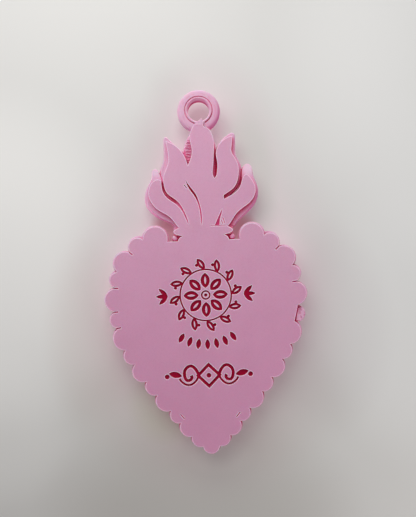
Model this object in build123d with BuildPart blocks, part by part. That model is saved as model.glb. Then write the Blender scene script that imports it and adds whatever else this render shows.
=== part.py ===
import math
import os

from build123d import *

os.makedirs("parts", exist_ok=True)

# The charm hangs in the XZ plane, ring upwards, and its flat face looks along -Y.
# The origin is the centre of the hanging ring's bore. Places on the face are (X, Z).

# Hanging ring
ring_bore_radius = 2.7
ring_outer_radius = 5.4
ring_thickness = 2.8
ring_land_length = 1.2
ring_crest_radius = 3.14
ring_crest_width = 0.28
ring_groove_width = 0.34
ring_groove_depth = 0.36
ring_shoulder_depth = 0.16

# Flat face and what is cut into it
plate_thickness = 1.2
plate_edge_round = 0.15
recess_depth = 0.5
crease_depth = 0.6
hairline_depth = 0.45
hairline_width = 0.26
hairline_length = 1.5
notch_slit_width = 0.34
notch_slit_length = 1.15
chip_step = 0.5

# Heart
heart_width = 51.2
heart_height = 57.5
heart_drop = 28.6
border_thickness = 2.4
border_back_round = 0.9
border_growth = 0.28
lobe_dome_rise = 0.7
lobe_dome_margin = 1.0
lobe_dome_sink = 0.2
heart_dome_height = 3.0

# Flames
flames_width = 29.0
flames_height = 27.0
flame_thickness = 2.9
main_crease_width = 0.56
twin_crease_width = 0.24
foot_scratch_width = 0.2

# Collar
collar_drop = 29.1
rim_width = 14.9
rim_body_height = 1.8
rim_thickness = 3.0
rim_back_round = 0.7
rim_crease_length = 4.5
rim_crease_width = 0.2
rim_crease_depth = 0.14
neck_body_width = 13.2
neck_thickness = 2.2
neck_bead_radius = 0.8
neck_bead_offset = 7.15
neck_bead_height = 0.74

# Engraved wreath, festoon and divider
wreath_drop = 46.3
wreath_ring_radius = 6.4
groove_width = 0.4
petal_count = 8
petal_start_radius = 1.75
petal_length = 3.8
petal_width = 2.3
petal_vein_length = 2.0
petal_vein_width = 0.5
rosette_eye_radius = 1.2
rosette_seed_radius = 0.42
leaf_count = 12
leaf_length = 3.3
leaf_width = 1.7
leaf_vein_length = 1.7
leaf_vein_width = 0.36
leaf_slant_deg = 34.0
berry_radius = 0.4
berry_ring_radius = 7.75
spray_offset = 9.5
spray_leaf_length = 3.0
spray_leaf_width = 1.05
spray_fan_deg = 42.0
festoon_radius = 11.0
festoon_count = 7
festoon_step_deg = 10.5
festoon_bud_length = 2.7
festoon_bud_width = 1.25
divider_drop = 66.4
divider_width = 21.6
divider_height = 5.4
divider_stroke = 0.8
tendril_stroke = 0.56
diamond_width = 4.6
diamond_stroke = 0.8
divider_leaf_length = 3.4
divider_leaf_width = 1.6
divider_leaf_slant_deg = 14.0
divider_bead_radius = 0.62

# Levels and places worked out from the sizes
face_level = -ring_thickness / 2
plate_back_level = face_level + plate_thickness
border_back_level = plate_back_level + border_thickness
heart_tip = -(heart_drop + heart_height)
half_heart_width = heart_width / 2
half_flames_width = flames_width / 2
half_rim_width = rim_width / 2
collar_top = -collar_drop
face_plane = Plane.XZ.offset(-face_level)
plate_back_plane = Plane.XZ.offset(-plate_back_level)

# Notches between the scallops, right side, top to tip: shares of the half width and of the height
notch_shares = [
    (0.355, 0.930),
    (0.594, 0.944),
    (0.715, 0.885),
    (0.855, 0.807),
    (0.871, 0.736),
    (0.879, 0.633),
    (0.859, 0.563),
    (0.805, 0.464),
    (0.719, 0.402),
    (0.609, 0.325),
    (0.512, 0.264),
    (0.381, 0.195),
    (0.291, 0.139),
    (0.187, 0.078),
    (0.082, 0.033),
]
# How far each scallop bulges past its chord, as a share of the chord
lobe_bulge_shares = [0.58, 0.47, 0.47, 0.47, 0.50, 0.50, 0.39, 0.36, 0.385, 0.355, 0.365, 0.345, 0.32, 0.30]
lobe_dome_share = 0.31
# How much of a scallop's bulge the border behind fills in at each notch
notch_fill_share = 0.42
chipped_lobe = 5
slit_notches = [2, 4, 5, 6]
border_round_share_steps = [(0.0, 0.0), (0.4, 0.08), (0.7, 0.29), (0.9, 0.56), (1.0, 0.9)]

# The smooth heart inside the border, right side, cleft to tip
inner_heart_shares = [
    (0.000, 0.862),
    (0.172, 0.892),
    (0.414, 0.893),
    (0.633, 0.850),
    (0.750, 0.774),
    (0.773, 0.673),
    (0.738, 0.560),
    (0.648, 0.447),
    (0.508, 0.337),
    (0.352, 0.242),
    (0.195, 0.155),
    (0.066, 0.089),
    (0.000, 0.071),
]
dome_share_steps = [(0.0, 1.0), (0.36, 0.94), (0.66, 0.82), (0.87, 0.64), (0.97, 0.42), (1.0, 0.22)]
dome_centre_share = 0.60


def heart_place(shares):
    return Vector(shares[0] * half_heart_width, heart_tip + shares[1] * heart_height)


def lobe_normal(index):
    chord = heart_place(notch_shares[index + 1]) - heart_place(notch_shares[index])
    return Vector(-chord.Y, chord.X).normalized()


def lobe_chord(index):
    return (heart_place(notch_shares[index + 1]) - heart_place(notch_shares[index])).length


def lobe_bulge(index):
    return lobe_bulge_shares[index] * lobe_chord(index)


def lobe_crown(index, growth):
    middle = (heart_place(notch_shares[index]) + heart_place(notch_shares[index + 1])) * 0.5
    return middle + lobe_normal(index) * (lobe_bulge(index) + growth)


mean_bulge = sum(lobe_bulge(index) for index in range(len(lobe_bulge_shares))) / len(lobe_bulge_shares)


def notch_root(index, fill_share):
    root = heart_place(notch_shares[index])
    last = len(lobe_bulge_shares)
    if index == 0:
        return root
    next_normal = Vector(0, -1) if index == last else lobe_normal(index)
    next_bulge = lobe_bulge(index - 1) if index == last else lobe_bulge(index)
    outward = (lobe_normal(index - 1) + next_normal).normalized()
    return root + outward * (fill_share * min(lobe_bulge(index - 1), next_bulge))


def on_side(place, side):
    return (side * place.X, place.Y)


def scallop_edges(growth, fill_share, chipped):
    roots = [notch_root(index, fill_share) for index in range(len(notch_shares))]
    for side in (1, -1):
        for index in range(len(lobe_bulge_shares)):
            start = on_side(roots[index], side)
            end = on_side(roots[index + 1], side)
            if chipped and side == 1 and index == chipped_lobe:
                Polyline(start, (start[0] + chip_step, start[1]), end)
            else:
                ThreePointArc(start, on_side(lobe_crown(index, growth), side), end)
    ThreePointArc(on_side(roots[-1], 1), (0, heart_tip - growth), on_side(roots[-1], -1))
    Line(on_side(roots[0], -1), on_side(roots[0], 1))


def inner_heart_edges(spread_share):
    middle = Vector(0, heart_tip + dome_centre_share * heart_height)
    places = [middle + (heart_place(shares) - middle) * spread_share for shares in inner_heart_shares]
    for side in (1, -1):
        Spline([on_side(place, side) for place in places])


# Edges of the flames on the flat face: shares of the half width and of the height over the collar
flame_face_edge_shares = [
    # Outer left flame, up its outside and over its blunt top
    [
        (-0.421, -0.004), (-0.483, 0.041), (-0.552, 0.089), (-0.662, 0.133), (-0.772, 0.170), (-0.862, 0.226),
        (-0.917, 0.300), (-0.910, 0.363), (-0.855, 0.419), (-0.772, 0.448), (-0.690, 0.437),
    ],
    # Left slit, down its outer side
    [
        (-0.690, 0.437), (-0.686, 0.380), (-0.666, 0.330), (-0.621, 0.288), (-0.548, 0.252), (-0.469, 0.222),
        (-0.390, 0.180), (-0.331, 0.128), (-0.286, 0.070), (-0.242, 0.019),
    ],
    # Left slit, up its inner side, and on up the inner left flame to its tip
    [
        (-0.242, 0.019), (-0.262, 0.070), (-0.300, 0.126), (-0.345, 0.181), (-0.414, 0.235), (-0.500, 0.274),
        (-0.579, 0.308), (-0.628, 0.350), (-0.650, 0.407), (-0.652, 0.463), (-0.624, 0.515), (-0.586, 0.559),
        (-0.555, 0.611), (-0.552, 0.663), (-0.566, 0.730), (-0.586, 0.804),
    ],
    # Inner left flame, down to the crotch beside the centre flame
    [
        (-0.586, 0.804), (-0.524, 0.789), (-0.455, 0.770), (-0.379, 0.737), (-0.317, 0.696), (-0.269, 0.648),
        (-0.221, 0.567),
    ],
    # Centre flame, up its left side to the small hooked tip under the ring's bore
    [
        (-0.221, 0.567), (-0.179, 0.615), (-0.148, 0.667), (-0.145, 0.722), (-0.162, 0.781), (-0.172, 0.841),
        (-0.145, 0.893), (-0.084, 0.944), (-0.021, 0.969), (0.062, 0.979),
    ],
    # Centre flame, round the hook to its shoulder
    [(0.062, 0.979), (0.077, 0.960), (0.072, 0.940), (0.084, 0.922), (0.117, 0.914)],
    # Centre flame, from the shoulder down its right side to the foot of the leaf gap
    [
        (0.117, 0.914), (0.152, 0.905), (0.194, 0.878), (0.231, 0.822), (0.243, 0.744), (0.234, 0.670),
        (0.224, 0.596), (0.207, 0.526), (0.203, 0.478), (0.234, 0.441),
    ],
    # Inner right flame, up its left side to the tip
    [
        (0.234, 0.441), (0.266, 0.470), (0.286, 0.526), (0.290, 0.581), (0.276, 0.633), (0.272, 0.674),
        (0.297, 0.722), (0.345, 0.763), (0.428, 0.800), (0.497, 0.819), (0.566, 0.826),
    ],
    # Inner right flame, down its right side to the crescent gap's inner corner
    [
        (0.566, 0.826), (0.559, 0.785), (0.548, 0.737), (0.538, 0.689), (0.572, 0.644), (0.621, 0.596),
        (0.652, 0.537), (0.648, 0.463), (0.614, 0.396), (0.552, 0.344), (0.469, 0.311), (0.379, 0.281),
    ],
    # Crescent gap, its blunt end
    [(0.379, 0.281), (0.379, 0.244)],
    # Outer right flame, up its inside to the tip
    [
        (0.379, 0.244), (0.476, 0.270), (0.572, 0.300), (0.648, 0.341), (0.690, 0.389), (0.717, 0.437),
        (0.786, 0.470),
    ],
    # Outer right flame, down its outside to the collar
    [
        (0.786, 0.470), (0.848, 0.437), (0.903, 0.389), (0.931, 0.330), (0.903, 0.263), (0.834, 0.211),
        (0.724, 0.167), (0.628, 0.130), (0.545, 0.081), (0.483, 0.030), (0.428, -0.004),
    ],
    # Foot of the flames, sunk into the collar
    [(0.428, -0.004), (0.428, -0.030)],
    [(0.428, -0.030), (-0.421, -0.030)],
    [(-0.421, -0.030), (-0.421, -0.004)],
]
main_crease_shares = [
    (-0.266, 0.437), (-0.234, 0.389), (-0.179, 0.341), (-0.110, 0.285), (-0.062, 0.219), (-0.034, 0.152),
    (-0.024, 0.085), (-0.024, 0.007),
]
main_crease_width_shares = [0.0, 0.6, 1.0, 0.9, 0.66, 0.62, 0.62, 0.0]
twin_crease_shares = [(-0.310, 0.396), (-0.276, 0.374), (-0.248, 0.352)]
twin_crease_width_shares = [0.0, 1.0, 0.0]
foot_gap_shares = [
    (0.346, 0.160), (0.303, 0.115), (0.262, 0.072), (0.205, 0.007), (0.283, 0.007), (0.297, 0.067),
    (0.326, 0.108),
]
hairline_place_shares = (0.273, 0.168)
hairline_slant_deg = 50.0
# Fine scratches beside the gap: place in the same shares, then length as a share of the flames' height
foot_scratch_shares = [(0.363, 0.050, 0.058), (0.330, 0.036, 0.045)]
foot_scratch_slant_deg = -72.0
rim_crease_shares = (0.283, 0.002)

# Sides of the five flame tongues behind the plate, foot to tip, in the same shares
flame_side_shares = {
    "centre_flame": {
        "left": [
            (-0.025, 0.0), (-0.035, 0.126), (-0.070, 0.239), (-0.168, 0.337), (-0.253, 0.469),
            (-0.267, 0.597), (-0.288, 0.710), (-0.239, 0.808), (-0.160, 0.885),
        ],
        "right": [
            (0.246, 0.0), (0.302, 0.126), (0.316, 0.239), (0.295, 0.352), (0.260, 0.469), (0.267, 0.597),
            (0.274, 0.710), (0.246, 0.808), (0.176, 0.885),
        ],
        "tip": (0.021, 0.950),
    },
    "inner_left_flame": {
        "left": [
            (-0.246, 0.0), (-0.302, 0.115), (-0.407, 0.205), (-0.604, 0.299), (-0.709, 0.424),
            (-0.709, 0.552), (-0.646, 0.650), (-0.639, 0.763),
        ],
        "right": [
            (0.000, 0.0), (-0.021, 0.126), (-0.056, 0.239), (-0.154, 0.352), (-0.211, 0.469), (-0.211, 0.590),
            (-0.302, 0.710), (-0.463, 0.793),
        ],
        "tip": (-0.611, 0.857),
    },
    "inner_right_flame": {
        "left": [
            (0.211, 0.0), (0.267, 0.126), (0.281, 0.258), (0.274, 0.371), (0.246, 0.484), (0.274, 0.597),
            (0.274, 0.703), (0.365, 0.797),
        ],
        "right": [
            (0.393, 0.0), (0.400, 0.126), (0.449, 0.250), (0.632, 0.356), (0.702, 0.469), (0.695, 0.575),
            (0.618, 0.673), (0.618, 0.778),
        ],
        "tip": (0.597, 0.869),
    },
    "outer_left_flame": {
        "left": [
            (-0.497, 0.0), (-0.577, 0.046), (-0.737, 0.086), (-0.886, 0.146), (-0.978, 0.215),
            (-1.000, 0.300), (-0.962, 0.380), (-0.899, 0.442), (-0.866, 0.490), (-0.857, 0.534),
        ],
        "right": [
            (-0.211, 0.0), (-0.245, 0.070), (-0.290, 0.130), (-0.365, 0.213), (-0.470, 0.268),
            (-0.550, 0.310), (-0.632, 0.371), (-0.664, 0.431), (-0.695, 0.485), (-0.742, 0.534),
        ],
        "tip": (-0.803, 0.561),
    },
    "outer_right_flame": {
        "left": [
            (0.351, 0.0), (0.358, 0.080), (0.385, 0.165), (0.449, 0.247), (0.560, 0.300), (0.640, 0.350),
            (0.684, 0.410), (0.692, 0.480), (0.732, 0.546),
        ],
        "right": [
            (0.560, 0.0), (0.684, 0.075), (0.804, 0.129), (0.928, 0.207), (0.981, 0.282), (0.985, 0.345),
            (0.943, 0.421), (0.906, 0.485), (0.884, 0.548),
        ],
        "tip": (0.817, 0.576),
    },
}
# Slices of a flame tongue: share of its thickness, share of its width
flame_slice_shares = [(0.0, 0.84), (0.24, 1.0), (0.52, 1.0), (0.76, 0.83), (0.93, 0.52), (1.0, 0.25)]


def flame_place(shares):
    return Vector(shares[0] * half_flames_width, collar_top + shares[1] * flames_height)


def pair(place):
    return (place.X, place.Y)


def groove_sides(shares_list, width_shares, width):
    places = [flame_place(shares) for shares in shares_list]
    left = []
    right = []
    for index, place in enumerate(places):
        before = places[max(index - 1, 0)]
        after = places[min(index + 1, len(places) - 1)]
        along = (after - before).normalized()
        across = Vector(-along.Y, along.X) * (width * width_shares[index] / 2)
        left.append(pair(place + across))
        right.append(pair(place - across))
    return left, right


def flame_slice(sides, width_share):
    left = []
    right = []
    for left_shares, right_shares in zip(sides["left"], sides["right"]):
        middle = (flame_place(left_shares) + flame_place(right_shares)) * 0.5
        left.append(pair(middle + (flame_place(left_shares) - middle) * width_share))
        right.append(pair(middle + (flame_place(right_shares) - middle) * width_share))
    tip = pair(middle + (flame_place(sides["tip"]) - middle) * width_share)
    return left, right, tip


# Collar on the flat face, right side: shares of the half rim width and of the collar's height
collar_rim_shares = [
    (0.805, 0.071), (0.940, 0.171), (1.000, 0.314), (0.953, 0.471), (0.846, 0.571), (0.698, 0.657),
]
collar_neck_shares = [(0.698, 0.657), (0.805, 0.771), (0.852, 0.943), (0.859, 1.0)]
heart_top_edge = heart_place(notch_shares[0]).Y
collar_height = collar_top - heart_top_edge


def collar_place(shares, side):
    return (side * shares[0] * half_rim_width, collar_top - shares[1] * collar_height)


# Engraved motifs, each drawn round its own origin
def almond(length, width):
    with BuildSketch() as shape:
        with BuildLine():
            ThreePointArc((0, 0), (length / 2, width / 2), (length, 0))
            ThreePointArc((0, 0), (length / 2, -width / 2), (length, 0))
        make_face()
    return shape.sketch


def veined_leaf(length, width, vein_length, vein_width):
    with BuildSketch() as shape:
        add(almond(length, width))
        with Locations(((length - vein_length) / 2, 0)):
            add(almond(vein_length, vein_width), mode=Mode.SUBTRACT)
    return shape.sketch


petal = veined_leaf(petal_length, petal_width, petal_vein_length, petal_vein_width)
wreath_leaf = veined_leaf(leaf_length, leaf_width, leaf_vein_length, leaf_vein_width)

with BuildSketch() as wreath:
    Circle(wreath_ring_radius + groove_width / 2)
    Circle(wreath_ring_radius - groove_width / 2, mode=Mode.SUBTRACT)
    with PolarLocations(petal_start_radius, petal_count):
        add(petal)
    Circle(rosette_eye_radius)
    Circle(rosette_eye_radius - groove_width, mode=Mode.SUBTRACT)
    Circle(rosette_seed_radius)
    with PolarLocations(wreath_ring_radius, leaf_count):
        with Locations(Rotation(0, 0, leaf_slant_deg)):
            add(wreath_leaf)
    with PolarLocations(berry_ring_radius, leaf_count, start_angle=180 / leaf_count):
        Circle(berry_radius)
    for side_deg, side in ((0, 1), (180, -1)):
        for fan_deg in (-spray_fan_deg, 0, spray_fan_deg):
            with Locations(Location((side * spray_offset, 0), side_deg + fan_deg)):
                add(almond(spray_leaf_length, spray_leaf_width))

with BuildSketch() as festoon:
    span_deg = festoon_step_deg * (festoon_count - 1)
    with PolarLocations(festoon_radius, festoon_count, -90 - span_deg / 2, span_deg, endpoint=True):
        add(almond(festoon_bud_length, festoon_bud_width))

# The divider's right half in shares of its half width and half height
scroll_shares = [
    (0.24, 0.00), (0.30, 0.60), (0.41, 0.92), (0.53, 0.66), (0.56, 0.00), (0.50, -0.42), (0.42, -0.34),
    (0.41, 0.05),
]
tendril_shares = [(0.24, 0.00), (0.32, -0.55), (0.46, -0.84), (0.60, -0.62), (0.68, -0.20)]
divider_leaf_share = 0.62
divider_bead_share = 0.965


def divider_place(shares):
    return (shares[0] * divider_width / 2, shares[1] * divider_height / 2)


with BuildSketch() as divider:
    with BuildLine():
        Spline([divider_place(shares) for shares in scroll_shares])
    trace(line_width=divider_stroke)
    with BuildLine():
        Spline([divider_place(shares) for shares in tendril_shares])
    trace(line_width=tendril_stroke)
    with Locations(Location(divider_place((divider_leaf_share, 0)), divider_leaf_slant_deg)):
        add(almond(divider_leaf_length, divider_leaf_width))
    with Locations(divider_place((divider_bead_share, 0))):
        Circle(divider_bead_radius)
    mirror(about=Plane.YZ)
    diamond_hollow = diamond_width - 2 * diamond_stroke
    Rectangle(diamond_width, diamond_width, rotation=45)
    Rectangle(diamond_hollow, diamond_hollow, rotation=45, mode=Mode.SUBTRACT)
    Circle(divider_bead_radius)

# Face plate: the one flat layer that the whole front is cut from
with BuildPart() as face_plate:
    with BuildSketch(plate_back_plane):
        with BuildLine():
            scallop_edges(0, 0, True)
        make_face()
    extrude(amount=plate_thickness - plate_edge_round)
    for rise, growth in ((plate_thickness - plate_edge_round, 0), (plate_thickness, -plate_edge_round)):
        with BuildSketch(plate_back_plane.offset(rise)):
            with BuildLine():
                scallop_edges(growth, growth / mean_bulge, True)
            make_face()
    loft(ruled=True)
    with BuildSketch(plate_back_plane):
        with BuildLine():
            for side in (1, -1):
                Spline([collar_place(shares, side) for shares in collar_rim_shares])
                Spline([collar_place(shares, side) for shares in collar_neck_shares])
            Line(collar_place(collar_rim_shares[0], -1), collar_place(collar_rim_shares[0], 1))
            Line(collar_place(collar_neck_shares[-1], -1), collar_place(collar_neck_shares[-1], 1))
        make_face()
        with BuildLine():
            for edge in flame_face_edge_shares:
                if len(edge) == 2:
                    Line([pair(flame_place(shares)) for shares in edge])
                else:
                    Spline([pair(flame_place(shares)) for shares in edge])
        make_face()
    extrude(amount=plate_thickness)
    with BuildSketch(face_plane):
        with Locations((0, -wreath_drop)):
            add(wreath.sketch)
            add(festoon.sketch)
        with Locations((0, -divider_drop)):
            add(divider.sketch)
    extrude(amount=-recess_depth, mode=Mode.SUBTRACT)
    for crease_shares, crease_width_shares, crease_width in (
        (main_crease_shares, main_crease_width_shares, main_crease_width),
        (twin_crease_shares, twin_crease_width_shares, twin_crease_width),
    ):
        left_side, right_side = groove_sides(crease_shares, crease_width_shares, crease_width)
        with BuildSketch(face_plane):
            with BuildLine():
                Spline(left_side)
                Spline(right_side)
            make_face()
        extrude(amount=-crease_depth, mode=Mode.SUBTRACT)
    with BuildSketch(face_plane):
        with BuildLine():
            Polyline([pair(flame_place(shares)) for shares in foot_gap_shares], close=True)
        make_face()
        for across_share, up_share, length_share in foot_scratch_shares:
            scratch_place = pair(flame_place((across_share, up_share)))
            with Locations(Location(scratch_place, foot_scratch_slant_deg)):
                SlotOverall(length_share * flames_height, foot_scratch_width)
        for side in (1, -1):
            hairline_place = on_side(heart_place(hairline_place_shares), side)
            with Locations(Location(hairline_place, side * hairline_slant_deg)):
                SlotOverall(hairline_length, hairline_width)
            for index in slit_notches:
                if side == 1 and index in (chipped_lobe, chipped_lobe + 1):
                    continue
                outward = notch_root(index, 1) - notch_root(index, 0)
                slit_slant_deg = math.degrees(math.atan2(outward.Y, side * outward.X))
                with Locations(Location(on_side(notch_root(index, 0), side), slit_slant_deg)):
                    SlotOverall(notch_slit_length, notch_slit_width)
    extrude(amount=-hairline_depth, mode=Mode.SUBTRACT)
    with BuildSketch(face_plane):
        with Locations(pair(flame_place(rim_crease_shares))):
            SlotOverall(rim_crease_length, rim_crease_width)
    extrude(amount=-rim_crease_depth, mode=Mode.SUBTRACT)
face_plate.part.label = "face_plate"
export_step(face_plate.part, "parts/face_plate.step")

# Scalloped border: the band of scallops behind the plate's edge, rounded at the back
with BuildPart() as scalloped_border:
    with BuildSketch(plate_back_plane):
        with BuildLine():
            scallop_edges(border_growth, notch_fill_share, False)
        make_face()
    straight_depth = border_thickness - border_back_round
    extrude(amount=-straight_depth)
    for lower_step, upper_step in zip(border_round_share_steps, border_round_share_steps[1:]):
        for depth_share, inset_share in (lower_step, upper_step):
            inset = inset_share * border_back_round
            with BuildSketch(plate_back_plane.offset(-straight_depth - depth_share * border_back_round)):
                with BuildLine():
                    scallop_edges(border_growth - inset, notch_fill_share - inset / mean_bulge, False)
                make_face()
        loft(ruled=True)
    with BuildSketch(plate_back_plane):
        with BuildLine():
            inner_heart_edges(1)
        make_face()
    extrude(amount=-border_thickness, mode=Mode.SUBTRACT)
    for index in range(len(lobe_bulge_shares)):
        foot_radius = lobe_dome_share * lobe_chord(index)
        ball_radius = (foot_radius**2 + lobe_dome_rise**2) / (2 * lobe_dome_rise)
        ball_depth = border_back_level + lobe_dome_rise - ball_radius
        cap_start_deg = math.degrees(math.asin(1 - (lobe_dome_rise + lobe_dome_sink) / ball_radius))
        middle = lobe_crown(index, border_growth) - lobe_normal(index) * (foot_radius + lobe_dome_margin)
        for side in (1, -1):
            with Locations((side * middle.X, ball_depth, middle.Y)):
                Sphere(ball_radius, arc_size1=cap_start_deg, rotation=(-90, 0, 0), align=None)
scalloped_border.part.label = "scalloped_border"
export_step(scalloped_border.part, "parts/scalloped_border.step")

# Heart body: the puffed heart, let into the border and domed at the back
with BuildPart() as heart_body:
    with BuildSketch(plate_back_plane):
        with BuildLine():
            inner_heart_edges(1)
        make_face()
    extrude(amount=-border_thickness)
    for rise_share, spread_share in dome_share_steps:
        with BuildSketch(Plane.XZ.offset(-border_back_level - rise_share * heart_dome_height)):
            with BuildLine():
                inner_heart_edges(spread_share)
            make_face()
    loft()
heart_body.part.label = "heart_body"
export_step(heart_body.part, "parts/heart_body.step")

# Collar body: rounded rim over a plain neck, standing on the heart
with BuildPart() as collar_body:
    with BuildSketch(plate_back_plane):
        with Locations((0, collar_top)):
            Rectangle(rim_width, rim_body_height, align=(Align.CENTER, Align.MAX))
    extrude(amount=-rim_thickness)
    rim_edges = collar_body.faces().sort_by(Axis.Y)[-1].edges()
    fillet(rim_edges, rim_back_round)
    with BuildSketch(plate_back_plane):
        with Locations((0, heart_top_edge)):
            Rectangle(neck_body_width, collar_height - rim_body_height, align=(Align.CENTER, Align.MIN))
    extrude(amount=-neck_thickness)
collar_body.part.label = "collar_body"
export_step(collar_body.part, "parts/collar_body.step")

# Neck beads: one small bead in each notch of the collar
with BuildPart() as neck_beads:
    for side in (1, -1):
        with Locations((side * neck_bead_offset, plate_back_level, heart_top_edge + neck_bead_height)):
            Sphere(neck_bead_radius)
    add(face_plate.part, mode=Mode.SUBTRACT)
    add(collar_body.part, mode=Mode.SUBTRACT)
    add(scalloped_border.part, mode=Mode.SUBTRACT)
neck_beads.part.label = "neck_beads"
export_step(neck_beads.part, "parts/neck_beads.step")

# Hanging ring: a round band with a flat land in its bore, and on the face side a fine crest and a groove
half_ring = ring_thickness / 2
half_land = ring_land_length / 2
crest_inner = ring_crest_radius - ring_crest_width / 2
crest_outer = ring_crest_radius + ring_crest_width / 2
groove_outer = crest_outer + ring_groove_width
groove_floor = half_ring - ring_groove_depth
shoulder = half_ring - ring_shoulder_depth
with BuildPart() as hanging_ring:
    with BuildSketch(Plane.XY):
        with BuildLine():
            Line((ring_bore_radius, -half_land), (ring_bore_radius, half_land))
            Spline((ring_bore_radius, half_land), (ring_crest_radius, half_ring), tangents=((0, 1), (1, 0)))
            Spline((ring_crest_radius, half_ring), (ring_outer_radius, 0), tangents=((1, 0), (0, -1)))
            Spline((ring_outer_radius, 0), (groove_outer, -shoulder), tangents=((0, -1), (-1, 0)))
            Line((groove_outer, -shoulder), (groove_outer, -groove_floor))
            Line((groove_outer, -groove_floor), (crest_outer, -groove_floor))
            Line((crest_outer, -groove_floor), (crest_outer, -half_ring))
            Line((crest_outer, -half_ring), (crest_inner, -half_ring))
            Spline((crest_inner, -half_ring), (ring_bore_radius, -half_land), tangents=((-1, 1), (0, 1)))
        make_face()
    revolve(axis=Axis.Y)
    whole_ring = hanging_ring.part
    add(face_plate.part, mode=Mode.SUBTRACT)
hanging_ring.part.label = "hanging_ring"
export_step(hanging_ring.part, "parts/hanging_ring.step")

# Flames: five tongues behind the plate, each trimmed where its neighbour lies over it
flame_neighbours = {
    "centre_flame": [],
    "inner_left_flame": ["centre_flame"],
    "inner_right_flame": ["centre_flame"],
    "outer_left_flame": ["inner_left_flame"],
    "outer_right_flame": ["inner_right_flame", "centre_flame"],
}
flames = {}
for name, sides in flame_side_shares.items():
    with BuildPart() as flame:
        for depth_share, width_share in flame_slice_shares:
            left_side, right_side, tip = flame_slice(sides, width_share)
            with BuildSketch(Plane.XZ.offset(-plate_back_level - depth_share * flame_thickness)):
                with BuildLine():
                    Spline(left_side + [tip] + right_side[::-1])
                    Line(right_side[0], left_side[0])
                make_face()
        loft()
        if name == "centre_flame":
            add(whole_ring, mode=Mode.SUBTRACT)
        for neighbour in flame_neighbours[name]:
            add(flames[neighbour], mode=Mode.SUBTRACT)
    flame.part.label = name
    export_step(flame.part, f"parts/{name}.step")
    flames[name] = flame.part
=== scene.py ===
import math
from types import SimpleNamespace

import bpy
from mathutils import Matrix, Vector


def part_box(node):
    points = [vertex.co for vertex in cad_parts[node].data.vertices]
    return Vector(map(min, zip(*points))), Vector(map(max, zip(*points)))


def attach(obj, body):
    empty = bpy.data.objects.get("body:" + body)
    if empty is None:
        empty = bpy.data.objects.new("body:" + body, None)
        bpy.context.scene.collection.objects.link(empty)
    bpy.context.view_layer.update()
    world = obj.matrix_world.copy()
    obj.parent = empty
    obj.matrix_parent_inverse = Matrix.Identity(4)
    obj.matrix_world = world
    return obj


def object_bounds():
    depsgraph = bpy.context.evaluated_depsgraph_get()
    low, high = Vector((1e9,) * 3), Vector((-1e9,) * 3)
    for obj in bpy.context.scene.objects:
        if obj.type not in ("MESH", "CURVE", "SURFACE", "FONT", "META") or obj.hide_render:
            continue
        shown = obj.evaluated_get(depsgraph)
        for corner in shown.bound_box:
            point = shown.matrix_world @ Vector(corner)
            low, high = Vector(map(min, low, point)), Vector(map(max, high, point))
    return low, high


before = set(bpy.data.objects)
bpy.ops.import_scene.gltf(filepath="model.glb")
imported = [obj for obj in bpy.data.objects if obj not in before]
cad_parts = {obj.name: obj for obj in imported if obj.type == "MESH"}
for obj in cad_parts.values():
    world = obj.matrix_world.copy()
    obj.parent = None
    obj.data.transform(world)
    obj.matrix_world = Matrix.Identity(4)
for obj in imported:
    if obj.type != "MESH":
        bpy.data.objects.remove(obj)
cad_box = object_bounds()


# Face plate.
# The flat first layer of the charm, a single print in dull pink plastic that lay face down on its
# bed. Fine slanting lines run over it. Its lips carry a painted highlight, its slits and engraved
# lines painted shade in crimson, and its finest creases painted shade in a lighter red or pink.
MM = 0.001
FACE_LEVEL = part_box("face_plate")[0].y


def new_node(tree, kind, **settings):
    made = tree.nodes.new(kind)
    for key, value in settings.items():
        setattr(made, key, value)
    return made


def plug(tree, socket, value):
    if isinstance(value, (int, float)):
        socket.default_value = value
    elif isinstance(value, tuple):
        socket.default_value = value if len(value) == len(socket.default_value) else (*value, 1.0)
    else:
        tree.links.new(value, socket)


def calc(tree, operation, first, second=0.0, third=0.0):
    made = new_node(tree, "ShaderNodeMath", operation=operation)
    for socket, value in zip(made.inputs, (first, second, third)):
        plug(tree, socket, value)
    return made.outputs[0]


def times(tree, first, second):
    return calc(tree, "MULTIPLY", first, second)


def spare(tree, mask, strength=1.0):
    """1 outside a mask, and less by the strength inside it."""
    return calc(tree, "MULTIPLY_ADD", mask, -strength, 1.0)


def ramp(tree, value, low, high):
    """0 at low and 1 at high, held between."""
    made = new_node(tree, "ShaderNodeMapRange", clamp=True, interpolation_type="SMOOTHSTEP")
    plug(tree, made.inputs["Value"], value)
    made.inputs["From Min"].default_value = low
    made.inputs["From Max"].default_value = high
    return made.outputs["Result"]


def tint(tree, share, first, second):
    made = new_node(tree, "ShaderNodeMix", data_type="RGBA")
    for socket, value in zip((made.inputs["Factor"], made.inputs[6], made.inputs[7]), (share, first, second)):
        plug(tree, socket, value)
    return made.outputs[2]


def grain(tree, place, size, detail=2.0):
    made = new_node(tree, "ShaderNodeTexNoise")
    made.inputs["Scale"].default_value = 1.0 / size
    made.inputs["Detail"].default_value = detail
    plug(tree, made.inputs["Vector"], place)
    return made.outputs["Fac"]


def turned_to(tree, normal, side, low, high):
    """0 to 1 as the surface turns towards a side."""
    made = new_node(tree, "ShaderNodeVectorMath", operation="DOT_PRODUCT")
    plug(tree, made.inputs[0], normal)
    plug(tree, made.inputs[1], side)
    return ramp(tree, made.outputs["Value"], low, high)


def openness(tree, reach, samples, towards=None, own_shade=False):
    """1 in the open and 0 deep inside, judged over a short reach."""
    made = new_node(tree, "ShaderNodeAmbientOcclusion", samples=samples, only_local=own_shade)
    made.inputs["Distance"].default_value = reach
    if towards is not None:
        plug(tree, made.inputs["Normal"], towards)
    return made.outputs["AO"]


FACE_LINE_PITCH = 0.45 * MM
LINE_WANDER = 0.5 * MM
LINE_WANDER_SIZE = 3 * MM
FACE_TURN = (-0.90, -0.99)


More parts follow.
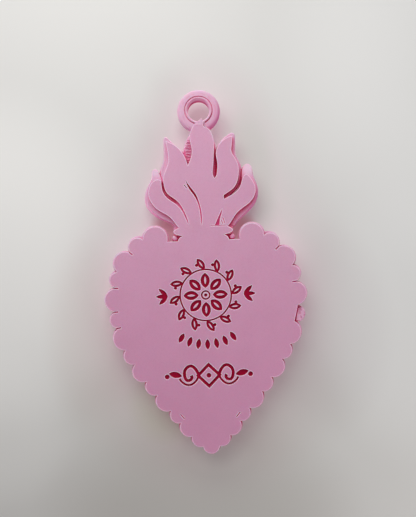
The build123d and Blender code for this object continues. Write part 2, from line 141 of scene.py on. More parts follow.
def surface_of(tree):
    """Where each point lies, which way it faces, and the slanting lines that the nozzle drew there."""
    at = SimpleNamespace()
    at.place = new_node(tree, "ShaderNodeTexCoord").outputs["Object"]
    split = new_node(tree, "ShaderNodeSeparateXYZ")
    plug(tree, split.inputs[0], at.place)
    at.x, at.y, at.z = split.outputs
    at.normal = new_node(tree, "ShaderNodeNewGeometry").outputs["Normal"]
    facing = new_node(tree, "ShaderNodeSeparateXYZ")
    plug(tree, facing.inputs[0], at.normal)
    at.right, at.back, at.up = facing.outputs
    at.on_face = ramp(tree, at.back, *FACE_TURN)

    wander = times(tree, grain(tree, at.place, LINE_WANDER_SIZE), LINE_WANDER)
    across = calc(tree, "ADD", calc(tree, "SUBTRACT", at.x, at.z), wander)
    line = calc(tree, "PINGPONG", calc(tree, "DIVIDE", across, FACE_LINE_PITCH * math.sqrt(2)), 0.5)
    at.lines = times(tree, times(tree, line, 2.0), at.on_face)
    return at


FLAME_PINK = (0.77, 0.425, 0.605)
TIP_SHADE_PINK = (0.77, 0.36, 0.56)
CLOUD_PINK = (0.66, 0.295, 0.465)
PALE_HIGHLIGHT_PINK = (0.98, 0.72, 0.89)
PINK_RANGE = (-10 * MM, -84 * MM)
CLOUD_SIZE = 7 * MM
CLOUD_RANGE = (0.35, 0.75)
CLOUD_SHARE = 0.16
SPECKLE_SIZE = 0.45 * MM
SPECKLE_RANGE = (0.40, 0.72)
SPECKLE_SHARE = 0.20
LINE_SHARE = 0.10
FINE_DETAIL = 3.0


def cloudy_pink(tree, at, pale):
    """Pink with painted shade deepening down the charm, slow clouds, fine speckle and the nozzle's lines."""
    cloud = ramp(tree, grain(tree, at.place, CLOUD_SIZE), *CLOUD_RANGE)
    speckle = ramp(tree, grain(tree, at.place, SPECKLE_SIZE, FINE_DETAIL), *SPECKLE_RANGE)
    blotch = calc(tree, "ADD", times(tree, cloud, CLOUD_SHARE), times(tree, speckle, SPECKLE_SHARE))
    blotch = calc(tree, "ADD", blotch, times(tree, at.lines, LINE_SHARE))
    # Painted shade: the pink deepens from the flames down to the tip
    tone = tint(tree, ramp(tree, at.z, *PINK_RANGE), FLAME_PINK, TIP_SHADE_PINK)
    tone = tint(tree, blotch, tone, CLOUD_PINK)
    # A pale share lightens the whole piece towards the pale highlight pink
    if pale:
        tone = tint(tree, pale, tone, PALE_HIGHLIGHT_PINK)
    return tone


SKY_LEAN = (-0.45, 0.0, 0.6)
SHELTER_REACH = 2.0 * MM
SHELTER_SAMPLES = 8
SHADE_SPAN = 0.45
SHADE_SHARE = 0.85
SUNK_RANGE = (0.55, 0.22)


def close_in(tree, at, look, own_shade, open_at, deep):
    """Shade where the plastic closes in on itself, most of all below an overhang."""
    sky = new_node(tree, "ShaderNodeVectorMath", operation="ADD")
    plug(tree, sky.inputs[0], at.normal)
    plug(tree, sky.inputs[1], SKY_LEAN)
    look.open = openness(tree, SHELTER_REACH, SHELTER_SAMPLES, sky.outputs["Vector"], own_shade)
    look.shaded = ramp(tree, look.open, open_at, open_at - SHADE_SPAN)
    look.shade = times(tree, look.shaded, SHADE_SHARE)
    look.sunk = times(tree, ramp(tree, look.open, *SUNK_RANGE), deep)


SLIT_FOOT = (-21.2 * MM, -23.8 * MM)
COLLAR_RIM = (-30.0 * MM, -29.6 * MM)
FLAME_ROOT_HALF = (7.0 * MM, 6.2 * MM)
FOOT_EASE = 0.75


def ease_slit_feet(tree, at, look, engraved):
    """The slits run out shallow and light just above the collar's rim, so their painted shade is eased there.
    """
    look.above_rim = ramp(tree, at.z, *COLLAR_RIM)
    look.slit_foot = times(tree, ramp(tree, at.z, *SLIT_FOOT), look.above_rim)
    if not engraved:
        near_middle = ramp(tree, calc(tree, "ABSOLUTE", at.x), *FLAME_ROOT_HALF)
        look.slit_foot = times(tree, look.slit_foot, near_middle)
    look.sunk = times(tree, look.sunk, spare(tree, look.slit_foot, FOOT_EASE))


LEE_SIDE = (0.71, 0.0, -0.70)
LEE_RANGE = (-0.05, 0.75)
DOWNWARD_RANGE = (-0.25, -0.85)
SKYWARD_LEAN = 0.3
SKYWARD_RANGE = (0.1, 0.9)
SKYWARD_SHARE = 0.8


def turn_from_window(tree, at, look, downward_lee):
    """Painted shade on sides turned right or down, in the window's lee; a painted highlight on those turned
    up.
    """
    under = turned_to(tree, at.normal, LEE_SIDE, *LEE_RANGE)
    downward = ramp(tree, at.up, *DOWNWARD_RANGE)
    look.under = calc(tree, "MAXIMUM", under, times(tree, downward, downward_lee))
    skyward = calc(tree, "SUBTRACT", at.up, times(tree, at.right, SKYWARD_LEAN))
    skyward = times(tree, ramp(tree, skyward, *SKYWARD_RANGE), SKYWARD_SHARE)
    look.tone = tint(tree, skyward, look.tone, PALE_HIGHLIGHT_PINK)


LEE_SHADE_PINK = (0.58, 0.14, 0.32)
SHADE_PINK = (0.80, 0.17, 0.35)
CRIMSON = (0.46, 0.001, 0.045)
CREASE_REACH = 0.4 * MM
CREASE_SAMPLES = 6
CREASE_RANGE = (0.40, 0.12)


def redden(tree, look, lee):
    """Pink turns redder in the shade, and crimson where it is sunk in."""
    look.tone = tint(tree, times(tree, look.under, lee), look.tone, LEE_SHADE_PINK)
    look.tone = tint(tree, look.shade, look.tone, SHADE_PINK)
    look.tone = tint(tree, look.sunk, look.tone, CRIMSON)
    close_by = openness(tree, CREASE_REACH, CREASE_SAMPLES)
    look.crease = times(tree, ramp(tree, close_by, *CREASE_RANGE), look.sunk)


SLIT_EDGE_SHADE_RED = (0.74, 0.10, 0.24)
ENGRAVED_SHADE_RED = (0.40, 0.001, 0.035)
CREASE_SHADE_RED = (0.64, 0.05, 0.19)
CREASE_SHADE_PINK = (0.92, 0.17, 0.46)
SLIT_EDGE_SHARE = 0.8
CREASE_FLOOR_GLOW = 0.4
RECESS_START = (FACE_LEVEL + 0.125 * MM, FACE_LEVEL + 0.25 * MM)
CREASE_FLOOR = (FACE_LEVEL + 0.48 * MM, FACE_LEVEL + 0.46 * MM)
SLIT_FLOOR = (FACE_LEVEL + 0.53 * MM, FACE_LEVEL + 0.57 * MM)


def shade_recesses(tree, at, look):
    """Painted shade on the cut floors, by depth: creases, then the engraving, then the slits' feet."""
    # Painted shade, red on the slit walls that face away from the window
    slit_edge = times(tree, look.under, look.above_rim)
    look.tone = tint(tree, times(tree, slit_edge, SLIT_EDGE_SHARE), look.tone, SLIT_EDGE_SHADE_RED)
    look.below = ramp(tree, at.y, *RECESS_START)
    recess = times(tree, look.below, at.on_face)
    crease_floor = ramp(tree, at.y, *CREASE_FLOOR)
    foot_floor = times(tree, ramp(tree, at.y, *SLIT_FLOOR), look.slit_foot)
    glow = calc(tree, "MAXIMUM", times(tree, crease_floor, CREASE_FLOOR_GLOW), foot_floor)
    look.crease = calc(tree, "MULTIPLY_ADD", recess, glow, times(tree, look.crease, spare(tree, recess)))
    floor_tone = tint(tree, foot_floor, ENGRAVED_SHADE_RED, CREASE_SHADE_RED)
    crease_tone = tint(tree, look.above_rim, CREASE_SHADE_PINK, CREASE_SHADE_RED)
    look.tone = tint(tree, recess, look.tone, tint(tree, crease_floor, floor_tone, crease_tone))


LIP_RADIUS = 0.38 * MM
LIP_SAMPLES = 8
FLAT_LIP = (0.999, 0.97)
ROUND_LIP = (0.95, 0.78)
LIP_OPEN = (0.60, 0.85)
LIP_WALL_OPEN = (0.80, 0.95)
LIP_LEE = 0.85


def rounded_normal(tree, radius, samples):
    made = new_node(tree, "ShaderNodeBevel", samples=samples)
    made.inputs["Radius"].default_value = radius
    return made.outputs["Normal"]


def paint_lip_highlights(tree, at, look, lip_range, engraved):
    """Painted highlight: pale lips along the sharp edges that lie open to the light."""
    lip = turned_to(tree, at.normal, rounded_normal(tree, LIP_RADIUS, LIP_SAMPLES), *lip_range)
    lip = times(tree, lip, ramp(tree, look.open, *LIP_OPEN))
    lip = times(tree, lip, spare(tree, look.under, LIP_LEE))
    if engraved:
        open_wall = ramp(tree, look.open, *LIP_WALL_OPEN)
        lip = times(tree, lip, spare(tree, look.below))
        lip = times(tree, lip, calc(tree, "MAXIMUM", at.on_face, open_wall))
    look.tone = tint(tree, lip, look.tone, PALE_HIGHLIGHT_PINK)


LAYER_HEIGHT = 0.2 * MM
GRAIN_SIZE = 0.2 * MM
GRAIN_SHARE = 0.5
LINE_DEPTH = 0.25


def raise_layers(tree, at, look):
    """A ridge for each printed layer, the nozzle's lines and a fine grain."""
    depth = calc(tree, "DIVIDE", calc(tree, "SUBTRACT", at.y, FACE_LEVEL), LAYER_HEIGHT)
    look.ridge = times(tree, calc(tree, "PINGPONG", depth, 0.5), 2.0)
    rough = times(tree, grain(tree, at.place, GRAIN_SIZE, FINE_DETAIL), GRAIN_SHARE)
    look.relief = calc(tree, "ADD", look.ridge, rough)
    look.relief = calc(tree, "ADD", look.relief, times(tree, at.lines, -LINE_DEPTH))


SEEP_GLOW_RED = (0.90, 0.0, 0.13)
CREASE_GLOW = (0.90, 0.20, 0.42)
FOOT_GLOW = (0.72, 0.25, 0.48)
SHADE_SEEP = 0.15
SUNK_SEEP_LOSS = 0.10
CREASE_SEEP = 0.08
FOOT_SEEP = 0.06
LEE_SEEP = 0.07


def paint_seep_glow(tree, look, glow_share):
    """Painted glow in the shade and the narrow places, standing for light that seeps through the plastic."""
    glow = tint(tree, look.crease, tint(tree, look.sunk, SHADE_PINK, SEEP_GLOW_RED), CREASE_GLOW)
    look.glow = tint(tree, look.slit_foot, glow, FOOT_GLOW)
    through = calc(tree, "SUBTRACT", SHADE_SEEP, times(tree, look.sunk, SUNK_SEEP_LOSS))
    seep = times(tree, look.shade, through)
    seep = calc(tree, "MULTIPLY_ADD", look.crease, CREASE_SEEP, seep)
    seep = calc(tree, "MULTIPLY_ADD", times(tree, look.slit_foot, look.shaded), FOOT_SEEP, seep)
    lee = times(tree, look.under, spare(tree, look.sunk))
    look.seep = calc(tree, "MULTIPLY_ADD", lee, LEE_SEEP, times(tree, seep, glow_share))


FACE_ROUGHNESS = 0.55
WALL_ROUGHNESS = 0.95
EDGE_SOFTNESS = 0.12 * MM
EDGE_SAMPLES = 6
BUMP_STRENGTH = 0.6
BUMP_HEIGHT = 0.04 * MM
SHINE = 0.12
SEE_INTO = 0.25
SEE_INTO_RADIUS = (1.0, 0.22, 0.42)
SEE_INTO_DEPTH = 0.6 * MM


def build_skin(tree, at, look):
    """The dull plastic itself, with its colour and painted shade, its relief and its painted glow plugged in.
    """
    out = new_node(tree, "ShaderNodeOutputMaterial")
    skin = new_node(tree, "ShaderNodeBsdfPrincipled")
    plug(tree, out.inputs["Surface"], skin.outputs[0])
    bump = new_node(tree, "ShaderNodeBump")
    bump.inputs["Strength"].default_value = BUMP_STRENGTH
    bump.inputs["Distance"].default_value = BUMP_HEIGHT
    plug(tree, bump.inputs["Height"], look.relief)
    plug(tree, bump.inputs["Normal"], rounded_normal(tree, EDGE_SOFTNESS, EDGE_SAMPLES))
    roughness = calc(tree, "MULTIPLY_ADD", at.on_face, FACE_ROUGHNESS - WALL_ROUGHNESS, WALL_ROUGHNESS)
    plug(tree, skin.inputs["Base Color"], look.tone)
    plug(tree, skin.inputs["Roughness"], roughness)
    plug(tree, skin.inputs["Normal"], bump.outputs["Normal"])
    plug(tree, skin.inputs["Emission Color"], look.glow)
    plug(tree, skin.inputs["Emission Strength"], look.seep)
    skin.inputs["Specular IOR Level"].default_value = SHINE
    skin.inputs["Subsurface Weight"].default_value = SEE_INTO
    skin.inputs["Subsurface Radius"].default_value = SEE_INTO_RADIUS
    skin.inputs["Subsurface Scale"].default_value = SEE_INTO_DEPTH


def printed_pink(
    name, *, engraved=False, own_shade=False, open_at=0.80, lip_range=ROUND_LIP, pale=0.0, cap=None, lee=0.5,
    downward_lee=0.8, deep=1.0, glow_share=1.0, layer_tint=0.0, scar=None, lift=0.0, bore=0.0,
):
    """The charm's printed plastic. A piece asks for its own shares of painted shade, highlight and glow."""
    material = bpy.data.materials.new(name)
    material.use_nodes = True
    tree = material.node_tree
    tree.nodes.clear()
    at = surface_of(tree)
    look = SimpleNamespace(tone=cloudy_pink(tree, at, pale))
    if cap:
        paint_cap_highlight(tree, at, look, cap)
    close_in(tree, at, look, own_shade, open_at, deep)
    if scar:
        ease_scar(tree, at, look, scar)
    ease_slit_feet(tree, at, look, engraved)
    if lift:
        ease_lifted_side(tree, at, look)
    turn_from_window(tree, at, look, downward_lee)
    if bore:
        shade_bore(tree, at, look, bore)
    redden(tree, look, lee)
    if engraved:
        shade_recesses(tree, at, look)
    paint_lip_highlights(tree, at, look, lip_range, engraved)
    raise_layers(tree, at, look)
    if layer_tint:
        shade_layer_dips(tree, at, look, layer_tint)
    if scar:
        scratch_scar(tree, at, look, scar)
    paint_seep_glow(tree, look, glow_share)
    if lift:
        light_lifted_side(tree, look, lift)
    if bore:
        light_bore(tree, look)
    build_skin(tree, at, look)
    return material


def dress(name, material):
    for material_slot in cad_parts[name].material_slots:
        material_slot.material = material


FLAT_OPEN = 0.60
dress("face_plate", printed_pink("face_plate_print", engraved=True, open_at=FLAT_OPEN, lip_range=FLAT_LIP))


# Scalloped border.
# The band of scallops behind the face plate's edge, of the same plastic and printed in the same
# run. One scallop on the right stands bare where the plate is chipped, and a rough stub is left.
PATCH_EDGE = (1.1, 0.7)
SCAR_DEPTH = (2.0 * MM, 1.2 * MM)
SCRATCH_RED = (0.60, 0.10, 0.26)
SCRATCH_RANGE = (0.18, 0.42)
SCRATCH_SHAKE = 1.4 * MM
SCRATCH_SHAKE_SIZE = 0.9 * MM
SCRATCH_DEPTH = 2.0
SPECK_SIZE = 0.7 * MM
SPECK_RANGE = (0.52, 0.64)


def patch_mask(tree, x, z, centre, reach, edge=PATCH_EDGE):
    """1 inside an upright oval, falling to 0 at its edge. Its centre and reach are in millimetres."""
    across = calc(tree, "DIVIDE", calc(tree, "SUBTRACT", x, centre[0] * MM), reach[0] * MM)
    up = calc(tree, "DIVIDE", calc(tree, "SUBTRACT", z, centre[1] * MM), reach[1] * MM)
    square = calc(tree, "ADD", times(tree, across, across), times(tree, up, up))
    return ramp(tree, square, *edge)


def ease_scar(tree, at, look, scar):
    """A rough patch near the face, with the painted shade of its deep places eased."""
    inside = patch_mask(tree, at.x, at.z, scar["centre"], scar["reach"])
    look.in_scar = times(tree, inside, ramp(tree, at.y, *SCAR_DEPTH))
    look.sunk = times(tree, look.sunk, spare(tree, look.in_scar, scar["ease"]))


def scratch_scar(tree, at, look, scar):
    """Red scratches across the layers, or specks where the scar has no pitch."""
    if scar["pitch"]:
        shake = times(tree, grain(tree, at.place, SCRATCH_SHAKE_SIZE, FINE_DETAIL), SCRATCH_SHAKE)
        rung = calc(tree, "DIVIDE", calc(tree, "ADD", at.z, shake), scar["pitch"] * MM)
        mark = ramp(tree, calc(tree, "PINGPONG", rung, 0.5), *SCRATCH_RANGE)
    else:
        mark = ramp(tree, grain(tree, at.place, SPECK_SIZE, FINE_DETAIL), *SPECK_RANGE)
    mark = times(tree, mark, look.in_scar)
    look.tone = tint(tree, times(tree, mark, scar["strength"]), look.tone, SCRATCH_RED)
    look.relief = calc(tree, "ADD", look.relief, times(tree, mark, -SCRATCH_DEPTH))


CHIPPED_SCALLOP = {"centre": (24.0, -52.3), "reach": (1.8, 2.2), "pitch": 0.0, "strength": 0.6, "ease": 0.0}
dress(
    "scalloped_border",
    printed_pink("border_print", open_at=FLAT_OPEN, lip_range=FLAT_LIP, scar=CHIPPED_SCALLOP),
)

STUB_OUTLINE = [
    (23.0, -50.5), (24.2, -50.25), (24.8, -51.1), (24.95, -52.1),
    (24.6, -53.1), (23.7, -53.9), (22.3, -53.7), (22.6, -52.2),
]
STUB_FRONT = FACE_LEVEL + 0.85 * MM
STUB_THICKNESS = 0.9 * MM
STUB_ROUNDING = 0.25 * MM
FLAKE_OPEN = 0.62
FLAKE_PALE = 0.3
ROUNDING_STEPS = 3


def flake(name, outline, front, thickness, rounding, specks):
    """A rough flat scrap of plastic: its outline in millimetres on the face, front to back."""
    count = len(outline)
    corners = [(x * MM, y, z * MM) for y in (front, front + thickness) for x, z in outline]
    front_face = tuple(range(count))[::-1]
    back_face = tuple(range(count, 2 * count))
    sides = [(i, (i + 1) % count, (i + 1) % count + count, i + count) for i in range(count)]
    mesh = bpy.data.meshes.new(name)
    mesh.from_pydata(corners, [], [front_face, back_face] + sides)
    piece = bpy.data.objects.new(name, mesh)
    bpy.context.collection.objects.link(piece)
    softening = piece.modifiers.new("rounded", "BEVEL")
    softening.width = rounding
    softening.segments = ROUNDING_STEPS
    piece.data.materials.append(
        printed_pink(name + "_print", open_at=FLAKE_OPEN, pale=FLAKE_PALE, scar=specks)
    )
    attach(piece, "root")


flake("scallop_stub", STUB_OUTLINE, STUB_FRONT, STUB_THICKNESS, STUB_ROUNDING, CHIPPED_SCALLOP)


# Heart body.
# The puffed heart inside the border, on the sculpted side, printed on from the face plate. Its dome
# is built of thin flat layers of the same plastic, which show as fine contour lines.
dress("heart_body", printed_pink("heart_print", own_shade=True))


# Collar and neck beads.
# A rounded rim over a plain neck, with one small round bead in the notch at each end. They are
# printed with the rest in the same plastic, and the collar carries a stronger painted glow for
# light from the sides that seeps through it.
dress("collar_body", printed_pink("collar_print", deep=0.8, glow_share=1.8))
dress("neck_beads", printed_pink("bead_print"))


# Flames.
# Five tongues of the same plastic fan out of the collar behind the face plate. The crotch between
# the centre and the left tongue is full of ragged crossing threads, drawn by the nozzle as it
# jumped the gap.
CAP_RANGE = (-17.6 * MM, -14.8 * MM)
CAP_SHARE = 0.75
LIFTED_SIDE = (-0.64, 0.0, -0.77)
LIFTED_RANGE = (0.25, 0.90)
LIFTED_GLOW_PINK = (0.80, 0.30, 0.48)
LIFTED_EASE = 0.8


def paint_cap_highlight(tree, at, look, cap):
    """A painted highlight on the round top of an outer flame, where it stands clear of the face plate."""
    above = times(tree, ramp(tree, at.z, *cap), CAP_SHARE)
    look.tone = tint(tree, above, look.tone, PALE_HIGHLIGHT_PINK)


def ease_lifted_side(tree, at, look):
    """The lower left side of a round form, its painted shade eased, for the light that the card throws back.
    """
    look.lifted = turned_to(tree, at.normal, LIFTED_SIDE, *LIFTED_RANGE)
    look.sunk = times(tree, look.sunk, spare(tree, look.lifted, LIFTED_EASE))


def light_lifted_side(tree, look, lift):
    # Painted glow in pink on that side, standing for the card's thrown-back light
    look.glow = tint(tree, look.lifted, look.glow, LIFTED_GLOW_PINK)
    look.seep = calc(tree, "MULTIPLY_ADD", look.lifted, lift, look.seep)


LEFT_CROTCH = {"centre": (-3.3, -10.0), "reach": (1.5, 4.6), "pitch": 0.62, "strength": 0.6, "ease": 0.85}
# The flames' pale share is an even painted highlight
for flame in ("centre_flame", "inner_left_flame"):
    dress(flame, printed_pink(flame + "_print", pale=0.15, scar=LEFT_CROTCH))
dress("inner_right_flame", printed_pink("inner_right_flame_print", pale=0.15))
for flame, lee, lift in (("outer_left_flame", 1.0, 0.09), ("outer_right_flame", 0.75, 0.0)):
    dress(flame, printed_pink(flame + "_print", pale=0.1, cap=CAP_RANGE, lee=lee, lift=lift))

THREAD_RADIUS = 0.1 * MM
THREAD_LEVEL = FACE_LEVEL + 0.9 * MM
THREAD_RANGE = (-7.6 * MM, -13.4 * MM)
THREAD_COUNT = 9
THREAD_ENDS = (-3.7 * MM, -1.9 * MM)
THREAD_SAG = 0.16 * MM
THREAD_STAGGER = 2.3
THREAD_SMOOTHNESS = 2
thread_print = printed_pink("thread_print")
for index in range(THREAD_COUNT):
    share = index / (THREAD_COUNT - 1)
    height = THREAD_RANGE[0] + share * (THREAD_RANGE[1] - THREAD_RANGE[0])
    lean = THREAD_SAG * math.sin(THREAD_STAGGER * index)
    route = bpy.data.curves.new(f"crotch_thread_{index + 1}", "CURVE")
    route.dimensions = "3D"
    route.bevel_depth = THREAD_RADIUS
    route.bevel_resolution = THREAD_SMOOTHNESS
    strand = route.splines.new("NURBS")
    strand.points.add(2)
    middle = 0.5 * (THREAD_ENDS[0] + THREAD_ENDS[1])
    strand.points[0].co = (THREAD_ENDS[0], THREAD_LEVEL, height - lean, 1.0)
    strand.points[1].co = (middle, THREAD_LEVEL, height - THREAD_SAG, 1.0)
    strand.points[2].co = (THREAD_ENDS[1], THREAD_LEVEL, height + lean, 1.0)
    strand.order_u = 3
    strand.use_endpoint_u = True
    thread = bpy.data.objects.new(route.name, route)
    bpy.context.collection.objects.link(thread)
    thread.data.materials.append(thread_print)
    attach(thread, "root")


# Hanging ring.
# A round band with a fine crest and a groove on its face side, the finest printing on the charm. It
# is one with the plate and the centre flame. Its layers show as faint rings in relief, with painted
# shade in some dips between them, and its bore carries painted shade, deep pink at the back.
BORE_REACH = 3.05
BORE_EDGE = (1.0, 0.94)
BORE_SIDE = (0.50, 0.0, -0.86)
BORE_RIM_RANGE = (0.08, 0.42)
BORE_WALL_RANGE = (-0.4, 0.3)
BORE_SHADE_PINK = (0.53, 0.08, 0.18)
BORE_DEPTH = (-1.1 * MM, 0.0)
BORE_RIM_SHARE = 0.35
BORE_SHADE_LOSS = 0.7
BORE_SUNK_LOSS = 0.8
BORE_SEEP = 0.05
LAYER_PATCH_SIZE = 1.6 * MM
LAYER_PATCH_RANGE = (0.42, 0.62)
LAYER_VALLEY = (0.45, 0.05)


def shade_bore(tree, at, look, reach):
    """Painted shade, deep pink inside the ring's bore, where it faces down or away from the window."""
    inside = patch_mask(tree, at.x, at.z, (0.0, 0.0), (reach, reach), BORE_EDGE)
    outside = spare(tree, inside)
    far_in = ramp(tree, at.y, *BORE_DEPTH)
    rim = times(tree, inside, turned_to(tree, at.normal, BORE_SIDE, *BORE_RIM_RANGE))
    look.in_bore = times(tree, inside, turned_to(tree, at.normal, BORE_SIDE, *BORE_WALL_RANGE))
    depth = calc(tree, "MAXIMUM", times(tree, look.in_bore, far_in), times(tree, rim, BORE_RIM_SHARE))
    look.tone = tint(tree, depth, look.tone, BORE_SHADE_PINK)
    look.under = times(tree, look.under, outside)
    look.shade = times(tree, look.shade, spare(tree, inside, BORE_SHADE_LOSS))
    look.sunk = times(tree, look.sunk, spare(tree, inside, BORE_SUNK_LOSS))


def light_bore(tree, look):
    # Painted glow inside the bore
    look.seep = calc(tree, "MULTIPLY_ADD", look.in_bore, BORE_SEEP, look.seep)


def shade_layer_dips(tree, at, look, strength):
    """Painted shade in the dips between layers, redder here and there."""
    patchy = ramp(tree, grain(tree, at.place, LAYER_PATCH_SIZE), *LAYER_PATCH_RANGE)
    valley = times(tree, ramp(tree, look.ridge, *LAYER_VALLEY), patchy)
    look.tone = tint(tree, times(tree, valley, strength), look.tone, SHADE_PINK)


# The ring's pale share is an even painted highlight
ring_print = printed_pink(
    "ring_print", pale=0.25, lee=0.85, downward_lee=0.2, deep=0.8, glow_share=0.4, layer_tint=0.3, lift=0.10,
    bore=BORE_REACH,
)
dress("hanging_ring", ring_print)

NIB_OUTLINE = [
    (-1.5, -4.1), (-1.15, -3.35), (-0.8, -2.9), (-0.35, -2.8), (0.05, -2.55), (0.35, -2.2), (0.65, -2.05),
    (0.85, -2.3), (0.85, -3.2), (0.7, -3.95), (0.2, -3.85), (-0.6, -3.8),
]
SPLIT_OUTLINE = [(1.2, -2.6), (1.45, -3.0), (1.4, -3.4), (1.6, -3.9), (2.1, -4.6), (1.3, -4.25), (1.15, -3.6)]
NIB_SPECKS = {"centre": (0.2, -3.2), "reach": (2.2, 1.5), "pitch": 0.0, "strength": 0.18, "ease": 0.0}
SCRAP_FRONT = FACE_LEVEL - 0.04 * MM
SCRAP_THICKNESS = 0.9 * MM
SCRAP_ROUNDING = 0.12 * MM
for name, outline in (("tip_nib", NIB_OUTLINE), ("tip_split", SPLIT_OUTLINE)):
    flake(name, outline, SCRAP_FRONT, SCRAP_THICKNESS, SCRAP_ROUNDING, NIB_SPECKS)


# Wall.
# A plain white card close behind the charm. It is one sided, and light passes through it, so it
# takes the charm's shadow in front and leaves the sculpted side in the light.
WALL_LEVEL = cad_box[1].y + 0.1 * MM
WALL_HALF_WIDTH = 95 * MM
WALL_TOP = 70 * MM
WALL_FOOT = -145 * MM
wall_corners = [
    (-WALL_HALF_WIDTH, WALL_LEVEL, WALL_FOOT),
    (WALL_HALF_WIDTH, WALL_LEVEL, WALL_FOOT),
    (WALL_HALF_WIDTH, WALL_LEVEL, WALL_TOP),
    (-WALL_HALF_WIDTH, WALL_LEVEL, WALL_TOP),
]
wall_mesh = bpy.data.meshes.new("wall")
wall_mesh.from_pydata(wall_corners, [], [(0, 1, 2, 3)])
wall = bpy.data.objects.new("wall", wall_mesh)
bpy.context.collection.objects.link(wall)
wall.visible_shadow = False

# The card turns darker towards the bottom, a painted falloff of the window's light
CARD_WHITE = (0.68, 0.675, 0.66)
CARD_SHADED_WHITE = (0.61, 0.595, 0.575)
CARD_FALL = (-30 * MM, -110 * MM)
CARD_LIFT = 0.14
CARD_ROUGHNESS = 0.7
CARD_PATCH_EDGE = (1.3, 0.1)
# Painted shadows, pools of light and pink light from the charm on the card: centre and reach in
# millimetres, share and colour
CARD_PAINTED_LIGHT = (
    ((72, 14), (50, 56), 0.48, (0.92, 0.92, 0.91)),
    ((-58, -80), (22, 22), 0.30, (0.86, 0.85, 0.83)),
    ((-60, -35), (42, 45), 0.57, (0.90, 0.89, 0.87)),
    ((-4, -108), (42, 32), 0.42, (0.34, 0.31, 0.28)),
    ((0, -48), (37, 52), 0.22, (0.48, 0.27, 0.33)),
    ((31, -57), (18, 28), 0.26, (0.42, 0.37, 0.38)),
    ((-30, -57), (13, 26), 0.18, (0.50, 0.38, 0.34)),
    ((0, -77), (40, 18), 0.12, (0.30, 0.25, 0.19)),
    ((54, -55), (24, 38), 0.20, (0.93, 0.93, 0.93)),
    ((2, -8), (19, 27), 0.20, (0.48, 0.29, 0.34)),
    ((2, -90), (9, 5), 0.10, (0.80, 0.77, 0.74)),
    ((12, -20), (8, 22), 0.17, (0.18, 0.50, 0.30)),
    ((-11, -75), (11, 11), 0.16, (0.32, 0.46, 0.12)),
    ((8.8, -30), (5.5, 5.5), 0.60, (0.42, 0.12, 0.15)),
    ((-8.8, -29.5), (5.5, 5.5), 0.60, (0.42, 0.12, 0.15)),
    ((0, 0), (5, 5), 0.35, (0.48, 0.22, 0.28)),
)
card = bpy.data.materials.new("white_card")
card.use_nodes = True
card_tree = card.node_tree
card_skin = card_tree.nodes["Principled BSDF"]
card_place = new_node(card_tree, "ShaderNodeSeparateXYZ")
plug(card_tree, card_place.inputs[0], new_node(card_tree, "ShaderNodeTexCoord").outputs["Object"])
card_x, _, card_z = card_place.outputs
card_tone = tint(card_tree, ramp(card_tree, card_z, *CARD_FALL), CARD_WHITE, CARD_SHADED_WHITE)
for centre, reach, share, tone in CARD_PAINTED_LIGHT:
    patch = patch_mask(card_tree, card_x, card_z, centre, reach, CARD_PATCH_EDGE)
    card_tone = tint(card_tree, times(card_tree, patch, share), card_tone, tone)
plug(card_tree, card_skin.inputs["Base Color"], card_tone)
plug(card_tree, card_skin.inputs["Emission Color"], card_tone)
card_light = new_node(card_tree, "ShaderNodeLightPath").outputs
card_seen = calc(card_tree, "MAXIMUM", card_light["Is Camera Ray"], card_light["Is Glossy Ray"])
card_seen = calc(card_tree, "MAXIMUM", card_seen, card_light["Is Transmission Ray"])
plug(card_tree, card_skin.inputs["Emission Strength"], times(card_tree, card_seen, CARD_LIFT))
card_skin.inputs["Roughness"].default_value = CARD_ROUGHNESS
card_clear = new_node(card_tree, "ShaderNodeBsdfTransparent")
card_mix = new_node(card_tree, "ShaderNodeMixShader")
card_side = new_node(card_tree, "ShaderNodeNewGeometry")
plug(card_tree, card_mix.inputs[0], card_side.outputs["Backfacing"])
plug(card_tree, card_mix.inputs[1], card_skin.outputs[0])
plug(card_tree, card_mix.inputs[2], card_clear.outputs[0])
plug(card_tree, card_tree.nodes["Material Output"].inputs["Surface"], card_mix.outputs[0])
wall.data.materials.append(card)


# Light.
# A broad window stands above and a little to the left, near enough for its light to fall off down
# the charm. Two weak lamps lift its lower edges, the left one from behind the card. The room fills
# in softly, and a light at the back shows the sculpted side.
CHARM_MIDDLE = Vector((0.0, 0.0, -0.04))


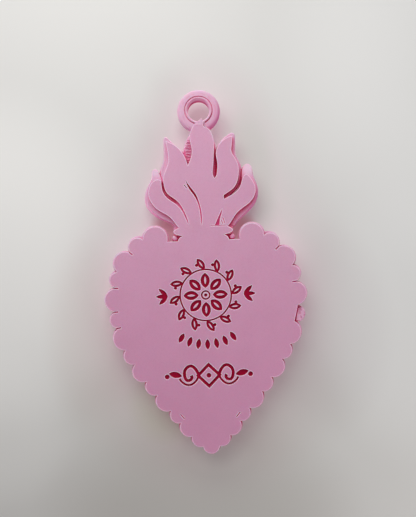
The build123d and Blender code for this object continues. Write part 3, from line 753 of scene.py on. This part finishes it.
def soft_lamp(name, place, size, watts, colour):
    lamp = bpy.data.lights.new(name, "AREA")
    lamp.shape = "SQUARE"
    lamp.size = size
    lamp.energy = watts
    lamp.color = colour
    holder = bpy.data.objects.new(name, lamp)
    holder.location = place
    holder.rotation_mode = "QUATERNION"
    holder.rotation_quaternion = (CHARM_MIDDLE - Vector(place)).to_track_quat("-Z", "Y")
    bpy.context.collection.objects.link(holder)


soft_lamp("window", (-0.035, -0.12, 0.075), 0.15, 0.21, (1.0, 0.99, 0.97))
soft_lamp("side_lamp", (0.14, -0.07, -0.15), 0.12, 0.11, (1.0, 0.98, 0.98))
soft_lamp("low_lamp", (-0.12, 0.03, -0.13), 0.05, 0.11, (1.0, 0.94, 0.96))
soft_lamp("rear_window", (0.20, 0.32, 0.24), 0.25, 1.6, (1.0, 1.0, 1.0))

ROOM_COLOUR = (0.95, 0.95, 0.97, 1.0)
ROOM_STRENGTH = 0.22
room = bpy.data.worlds.new("room")
bpy.context.scene.world = room
room.use_nodes = True
room_glow = room.node_tree.nodes["Background"]
room_glow.inputs["Color"].default_value = ROOM_COLOUR
room_glow.inputs["Strength"].default_value = ROOM_STRENGTH


# Camera.
# It looks square at the flat face from a short way off, and the charm leans a little left.
VIEW_CENTRE = (0.93 * MM, -37.2 * MM)
VIEW_DISTANCE = 110 * MM
VIEW_ROLL_DEG = -2.26
LENS_MM = 30.64
SENSOR_WIDTH_MM = 36.0
CLIP_NEAR = 5 * MM
CLIP_FAR = 20.0
camera_data = bpy.data.cameras.new("camera")
camera_data.lens = LENS_MM
camera_data.sensor_width = SENSOR_WIDTH_MM
camera_data.clip_start = CLIP_NEAR
camera_data.clip_end = CLIP_FAR
camera = bpy.data.objects.new("camera", camera_data)
bpy.context.collection.objects.link(camera)
camera.matrix_world = (
    Matrix.Translation((VIEW_CENTRE[0], FACE_LEVEL - VIEW_DISTANCE, VIEW_CENTRE[1]))
    @ Matrix.Rotation(math.radians(90), 4, "X")
    @ Matrix.Rotation(math.radians(VIEW_ROLL_DEG), 4, "Z")
)
bpy.context.scene.camera = camera
bpy.context.scene.view_settings.view_transform = "Standard"
